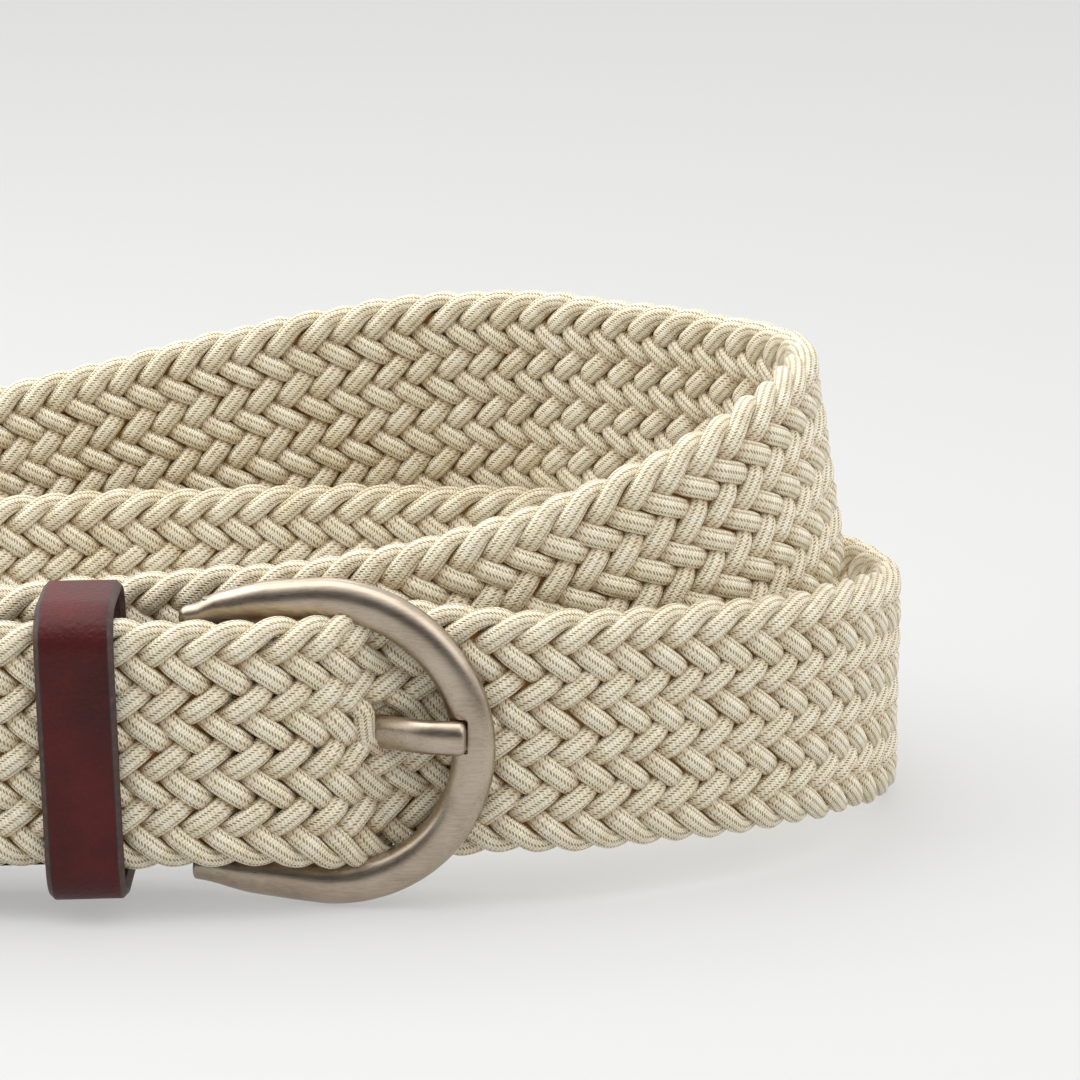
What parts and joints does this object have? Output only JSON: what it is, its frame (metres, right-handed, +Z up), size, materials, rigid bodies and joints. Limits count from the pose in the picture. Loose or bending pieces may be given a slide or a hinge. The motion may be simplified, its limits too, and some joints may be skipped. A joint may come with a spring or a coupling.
{
  "type": "braided belt",
  "caption": "Braided elastic-cord belt rolled up and buckled, with a horseshoe prong buckle, a leather tab, a sliding leather keeper and a leather tip.",
  "frame": {"origin": "middle of the rolled belt's outline, on the surface that it stands on", "axes": "+Z up out of the roll, the buckle faces -Y, the roll's long way is X and the free end points to -X"},
  "size_m": [0.2131, 0.1229, 0.0716],
  "materials": {
    "cream_braid": "silky braided cord, cream",
    "burgundy_leather": "smooth burgundy-brown leather with painted edges",
    "brown_thread": "brown sewing thread",
    "satin_nickel": "satin plating, champagne nickel",
    "plain_steel": "plain steel"
  },
  "bodies": {
    "belt": {"braided_strap": "cream_braid", "buckle_tab": "burgundy_leather", "tab_thread_front": "brown_thread", "tab_thread_back": "brown_thread", "tip_front_leaf": "burgundy_leather", "tip_back_leaf": "burgundy_leather", "tip_thread_front": "brown_thread", "tip_thread_back": "brown_thread"},
    "frame": {"buckle_frame": "satin_nickel", "buckle_bar": "plain_steel"},
    "prong": {"prong": "satin_nickel"},
    "keeper": {"keeper_loop": "burgundy_leather", "keeper_staple": "plain_steel"}
  },
  "joints": [
    {"name": "frame_swing", "type": "hinge", "parent": "belt", "child": "frame", "pos_m": [0.004, -0.0492, 0.0246], "axis": [0, 0, -1], "range_deg": [0, 4]},
    {"name": "prong_lift", "type": "hinge", "parent": "frame", "child": "prong", "pos_m": [0.004, -0.0492, 0.0252], "axis": [0, 0, -1], "range_deg": [0, 6]},
    {"name": "keeper_slide", "type": "slide", "parent": "belt", "child": "keeper", "axis": [1, 0, 0], "range_m": [-0.018, 0.004]}
  ]
}
